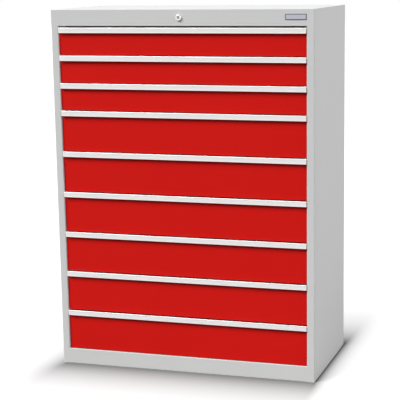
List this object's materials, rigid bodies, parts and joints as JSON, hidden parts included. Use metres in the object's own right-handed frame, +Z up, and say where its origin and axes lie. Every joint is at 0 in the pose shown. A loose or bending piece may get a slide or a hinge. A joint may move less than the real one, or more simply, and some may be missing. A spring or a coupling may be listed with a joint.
{
  "type": "multi-drawer cabinet",
  "caption": "Floor-standing steel drawer cabinet with full-width grip strips, telescopic slides and one lock that lifts a hooked bar to hold the drawers shut.",
  "frame": {"origin": "middle of the footprint, on the floor", "axes": "+X to the right across the front, +Y from the front to the back, +Z up"},
  "size_m": [0.975, 0.505, 1.32],
  "materials": {
    "housing_paint": "fine-textured light grey powder coat",
    "front_paint": "fine-textured signal red powder coat",
    "tray_paint": "light grey powder coat",
    "strip_aluminium": "satin anodised extrusion",
    "zinc_plate": "bright zinc-plated steel",
    "screw_steel": "zinc-plated screw",
    "lock_chrome": "polished nickel",
    "lock_plug_metal": "dull nickel",
    "plate_metal": "bare satin plate with a raised rim"
  },
  "bodies": {
    "housing": {"side_panel_left": "housing_paint", "side_panel_right": "housing_paint", "top_panel": "housing_paint", "base_panel": "housing_paint", "back_panel": "housing_paint", "name_plate": "plate_metal", "slide_uprights": "zinc_plate", "cabinet_rails": "zinc_plate", "rail_screws": "screw_steel", "lock_housing": "lock_chrome", "lock_nut": "zinc_plate"},
    "lock": {"lock_plug": "lock_plug_metal", "lock_cam": "zinc_plate"},
    "push_rod": {"push_rod": "zinc_plate"},
    "locking_bar": {"locking_bar": "zinc_plate"},
    "drawer_1": {"drawer_1_tray": "tray_paint", "drawer_1_front": "front_paint", "drawer_1_handle": "strip_aluminium", "drawer_1_rails": "zinc_plate"},
    "slide_1": {"slide_1_middle": "zinc_plate"},
    "drawer_2": {"drawer_2_tray": "tray_paint", "drawer_2_front": "front_paint", "drawer_2_handle": "strip_aluminium", "drawer_2_rails": "zinc_plate"},
    "slide_2": {"slide_2_middle": "zinc_plate"},
    "drawer_3": {"drawer_3_tray": "tray_paint", "drawer_3_front": "front_paint", "drawer_3_handle": "strip_aluminium", "drawer_3_rails": "zinc_plate"},
    "slide_3": {"slide_3_middle": "zinc_plate"},
    "drawer_4": {"drawer_4_tray": "tray_paint", "drawer_4_front": "front_paint", "drawer_4_handle": "strip_aluminium", "drawer_4_rails": "zinc_plate"},
    "slide_4": {"slide_4_middle": "zinc_plate"},
    "drawer_5": {"drawer_5_tray": "tray_paint", "drawer_5_front": "front_paint", "drawer_5_handle": "strip_aluminium", "drawer_5_rails": "zinc_plate"},
    "slide_5": {"slide_5_middle": "zinc_plate"},
    "drawer_6": {"drawer_6_tray": "tray_paint", "drawer_6_front": "front_paint", "drawer_6_handle": "strip_aluminium", "drawer_6_rails": "zinc_plate"},
    "slide_6": {"slide_6_middle": "zinc_plate"},
    "drawer_7": {"drawer_7_tray": "tray_paint", "drawer_7_front": "front_paint", "drawer_7_handle": "strip_aluminium", "drawer_7_rails": "zinc_plate"},
    "slide_7": {"slide_7_middle": "zinc_plate"},
    "drawer_8": {"drawer_8_tray": "tray_paint", "drawer_8_front": "front_paint", "drawer_8_handle": "strip_aluminium", "drawer_8_rails": "zinc_plate"},
    "slide_8": {"slide_8_middle": "zinc_plate"},
    "drawer_9": {"drawer_9_tray": "tray_paint", "drawer_9_front": "front_paint", "drawer_9_handle": "strip_aluminium", "drawer_9_rails": "zinc_plate"},
    "slide_9": {"slide_9_middle": "zinc_plate"}
  },
  "joints": [
    {"name": "locking_bar_lift", "type": "slide", "parent": "housing", "child": "locking_bar", "axis": [0, 0, 1], "range_m": [0, 0.0198]},
    {"name": "lock_turn", "type": "hinge", "parent": "housing", "child": "lock", "pos_m": [0, -0.24, 1.292], "axis": [0, 1, 0], "range_deg": [0, 90]},
    {"name": "push_rod_slide", "type": "slide", "parent": "housing", "child": "push_rod", "axis": [-1, 0, 0], "range_m": [0, 0.0198]},
    {"name": "drawer_1_pull", "type": "slide", "parent": "housing", "child": "drawer_1", "axis": [0, -1, 0], "range_m": [0, 0.4]},
    {"name": "slide_1_extend", "type": "slide", "parent": "housing", "child": "slide_1", "axis": [0, -1, 0], "range_m": [0, 0.2]},
    {"name": "drawer_2_pull", "type": "slide", "parent": "housing", "child": "drawer_2", "axis": [0, -1, 0], "range_m": [0, 0.4]},
    {"name": "slide_2_extend", "type": "slide", "parent": "housing", "child": "slide_2", "axis": [0, -1, 0], "range_m": [0, 0.2]},
    {"name": "drawer_3_pull", "type": "slide", "parent": "housing", "child": "drawer_3", "axis": [0, -1, 0], "range_m": [0, 0.4]},
    {"name": "slide_3_extend", "type": "slide", "parent": "housing", "child": "slide_3", "axis": [0, -1, 0], "range_m": [0, 0.2]},
    {"name": "drawer_4_pull", "type": "slide", "parent": "housing", "child": "drawer_4", "axis": [0, -1, 0], "range_m": [0, 0.4]},
    {"name": "slide_4_extend", "type": "slide", "parent": "housing", "child": "slide_4", "axis": [0, -1, 0], "range_m": [0, 0.2]},
    {"name": "drawer_5_pull", "type": "slide", "parent": "housing", "child": "drawer_5", "axis": [0, -1, 0], "range_m": [0, 0.4]},
    {"name": "slide_5_extend", "type": "slide", "parent": "housing", "child": "slide_5", "axis": [0, -1, 0], "range_m": [0, 0.2]},
    {"name": "drawer_6_pull", "type": "slide", "parent": "housing", "child": "drawer_6", "axis": [0, -1, 0], "range_m": [0, 0.4]},
    {"name": "slide_6_extend", "type": "slide", "parent": "housing", "child": "slide_6", "axis": [0, -1, 0], "range_m": [0, 0.2]},
    {"name": "drawer_7_pull", "type": "slide", "parent": "housing", "child": "drawer_7", "axis": [0, -1, 0], "range_m": [0, 0.4]},
    {"name": "slide_7_extend", "type": "slide", "parent": "housing", "child": "slide_7", "axis": [0, -1, 0], "range_m": [0, 0.2]},
    {"name": "drawer_8_pull", "type": "slide", "parent": "housing", "child": "drawer_8", "axis": [0, -1, 0], "range_m": [0, 0.4]},
    {"name": "slide_8_extend", "type": "slide", "parent": "housing", "child": "slide_8", "axis": [0, -1, 0], "range_m": [0, 0.2]},
    {"name": "drawer_9_pull", "type": "slide", "parent": "housing", "child": "drawer_9", "axis": [0, -1, 0], "range_m": [0, 0.4]},
    {"name": "slide_9_extend", "type": "slide", "parent": "housing", "child": "slide_9", "axis": [0, -1, 0], "range_m": [0, 0.2]}
  ],
  "couplings": [
    {"joint": "lock_turn", "follows": "locking_bar_lift", "rad_per_m": 79.33},
    {"joint": "push_rod_slide", "follows": "locking_bar_lift", "ratio": 1},
    {"joint": "slide_1_extend", "follows": "drawer_1_pull", "ratio": 0.5},
    {"joint": "slide_2_extend", "follows": "drawer_2_pull", "ratio": 0.5},
    {"joint": "slide_3_extend", "follows": "drawer_3_pull", "ratio": 0.5},
    {"joint": "slide_4_extend", "follows": "drawer_4_pull", "ratio": 0.5},
    {"joint": "slide_5_extend", "follows": "drawer_5_pull", "ratio": 0.5},
    {"joint": "slide_6_extend", "follows": "drawer_6_pull", "ratio": 0.5},
    {"joint": "slide_7_extend", "follows": "drawer_7_pull", "ratio": 0.5},
    {"joint": "slide_8_extend", "follows": "drawer_8_pull", "ratio": 0.5},
    {"joint": "slide_9_extend", "follows": "drawer_9_pull", "ratio": 0.5}
  ]
}
